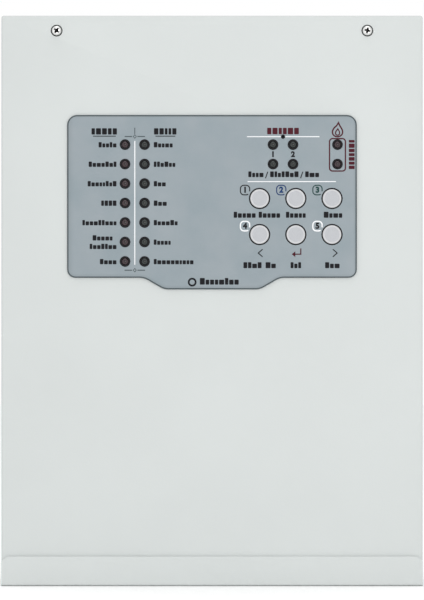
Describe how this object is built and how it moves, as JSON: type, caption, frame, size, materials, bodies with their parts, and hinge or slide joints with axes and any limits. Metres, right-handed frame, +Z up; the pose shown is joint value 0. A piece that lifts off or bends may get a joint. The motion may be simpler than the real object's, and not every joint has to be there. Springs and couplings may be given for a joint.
{
  "type": "fire alarm control panel",
  "caption": "Wall-mounted sheet-steel alarm panel with a drop-down cover, a control overlay with indicator lamps and round push buttons, and its boards, transformer and batteries inside.",
  "frame": {"origin": "centre of the flat back face that lies on the wall", "axes": "+Z up along the height, +Y into the wall, +X to the panel's right as seen from the front, so the front faces -Y"},
  "size_m": [0.255, 0.0958, 0.345],
  "materials": {
    "powder_coat": "light grey powder coat, fine texture",
    "overlay_print": "blue-grey printed plastic, satin",
    "button_cap": "light grey, fine matt texture",
    "led_warm": "unlit tinted LED lens",
    "led_neutral": "unlit tinted LED lens",
    "zinc": "zinc-plated steel",
    "board": "green solder mask on fibreglass",
    "lamination": "varnished steel laminations",
    "winding_tape": "yellow insulating tape",
    "grey_plastic": "moulded",
    "battery_case": "dark grey moulded case",
    "black_plastic": "moulded",
    "terminal_green": "moulded",
    "relay_case": "moulded, blue",
    "aluminium": "extruded",
    "capacitor_sleeve": "shrink sleeve",
    "red_wire": "PVC",
    "black_wire": "PVC",
    "ribbon": "flat ribbon cable"
  },
  "bodies": {
    "enclosure": {"back_box": "powder_coat", "cover_nut_left": "zinc", "cover_nut_right": "zinc", "hinge_pin_left": "zinc", "hinge_pin_right": "zinc", "battery_strap": "zinc", "main_board": "board", "transformer_core": "lamination", "transformer_winding": "winding_tape", "mains_terminal_block": "grey_plastic", "fuse_holder": "black_plastic", "battery_left": "battery_case", "battery_right": "battery_case", "field_terminal_strip": "terminal_green", "fire_relay": "relay_case", "fault_relay": "relay_case", "heat_sink": "aluminium", "capacitor": "capacitor_sleeve", "battery_lead_red": "red_wire", "battery_lead_black": "black_wire", "ribbon_cable": "ribbon"},
    "cover": {"front_cover": "powder_coat", "overlay": "overlay_print", "display_board": "board", "buzzer": "black_plastic", "ribbon_socket": "black_plastic", "status_led_1": "led_warm", "status_led_2": "led_warm", "status_led_3": "led_warm", "status_led_4": "led_warm", "status_led_5": "led_warm", "status_led_6": "led_warm", "status_led_7": "led_warm", "fault_led_1": "led_neutral", "fault_led_2": "led_neutral", "fault_led_3": "led_neutral", "fault_led_4": "led_neutral", "fault_led_5": "led_neutral", "fault_led_6": "led_neutral", "fault_led_7": "led_neutral", "zone_1_fire_led": "led_neutral", "zone_1_fault_led": "led_neutral", "zone_2_fire_led": "led_neutral", "zone_2_fault_led": "led_neutral", "fire_led_1": "led_warm", "fire_led_2": "led_warm", "tact_switch_1": "black_plastic", "tact_switch_2": "black_plastic", "tact_switch_3": "black_plastic", "tact_switch_4": "black_plastic", "tact_switch_5": "black_plastic", "tact_switch_6": "black_plastic"},
    "button_1_cap": {"button_1": "button_cap"},
    "button_2_cap": {"button_2": "button_cap"},
    "button_3_cap": {"button_3": "button_cap"},
    "button_4_cap": {"button_4": "button_cap"},
    "button_5_cap": {"button_5": "button_cap"},
    "button_6_cap": {"button_6": "button_cap"},
    "cover_screw_left_body": {"cover_screw_left": "zinc"},
    "cover_screw_right_body": {"cover_screw_right": "zinc"}
  },
  "joints": [
    {"name": "cover_hinge", "type": "hinge", "parent": "enclosure", "child": "cover", "pos_m": [0, -0.0875, -0.1475], "axis": [1, 0, 0], "range_deg": [0, 90], "deforming": ["ribbon_cable"]},
    {"name": "button_1_press", "type": "slide", "parent": "cover", "child": "button_1_cap", "axis": [0, 1, 0], "range_m": [0, 0.0005], "stiffness_N_per_m": 3000},
    {"name": "button_2_press", "type": "slide", "parent": "cover", "child": "button_2_cap", "axis": [0, 1, 0], "range_m": [0, 0.0005], "stiffness_N_per_m": 3000},
    {"name": "button_3_press", "type": "slide", "parent": "cover", "child": "button_3_cap", "axis": [0, 1, 0], "range_m": [0, 0.0005], "stiffness_N_per_m": 3000},
    {"name": "button_4_press", "type": "slide", "parent": "cover", "child": "button_4_cap", "axis": [0, 1, 0], "range_m": [0, 0.0005], "stiffness_N_per_m": 3000},
    {"name": "button_5_press", "type": "slide", "parent": "cover", "child": "button_5_cap", "axis": [0, 1, 0], "range_m": [0, 0.0005], "stiffness_N_per_m": 3000},
    {"name": "button_6_press", "type": "slide", "parent": "cover", "child": "button_6_cap", "axis": [0, 1, 0], "range_m": [0, 0.0005], "stiffness_N_per_m": 3000},
    {"name": "cover_screw_left_release", "type": "slide", "parent": "cover", "child": "cover_screw_left_body", "axis": [0, -1, 0], "range_m": [0, 0.007]},
    {"name": "cover_screw_right_release", "type": "slide", "parent": "cover", "child": "cover_screw_right_body", "axis": [0, -1, 0], "range_m": [0, 0.007]}
  ]
}
